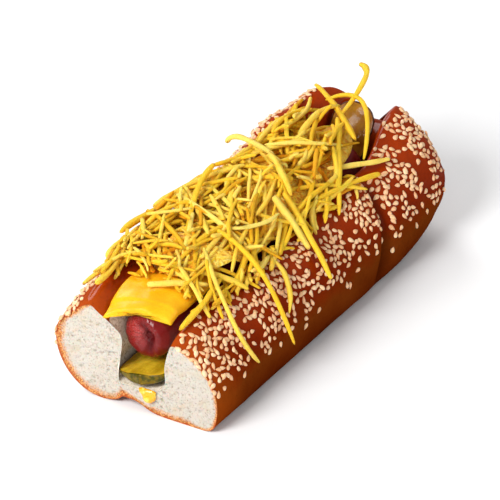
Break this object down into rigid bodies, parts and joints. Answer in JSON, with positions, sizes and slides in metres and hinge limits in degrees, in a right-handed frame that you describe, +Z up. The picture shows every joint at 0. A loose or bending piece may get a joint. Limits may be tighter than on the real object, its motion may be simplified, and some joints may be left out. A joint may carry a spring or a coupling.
{
  "type": "hot dog",
  "caption": "Plaited sesame hot dog bun, cut flat at one end and slit along the top, filled with a sausage, cheese, pickle and straw potatoes.",
  "frame": {"origin": "bottom centre of the whole, on the plane the bun rests on", "axes": "+X along the bun, from its cut end towards its rounded end; +Y across the bun, towards its taller half; +Z up"},
  "size_m": [0.2096, 0.0888, 0.069],
  "materials": {
    "bread_crust": "baked egg-washed crust, satin gloss",
    "sausage_skin": "moist glossy skin",
    "cheese": "soft satin cheese",
    "cheese_sauce": "smooth thick sauce",
    "pickle": "wet translucent flesh with a dark rind",
    "end_pickle": "wet translucent flesh with a dark rind",
    "fried_potato": "dry fried potato, slightly oily"
  },
  "bodies": {
    "root": {"bun": "bread_crust", "sausage": "sausage_skin", "cheese_slice": "cheese", "cheese_sauce": "cheese_sauce", "pickle_slice": "pickle", "end_pickle_slice": "end_pickle", "straw_potatoes": "fried_potato"}
  },
  "joints": []
}
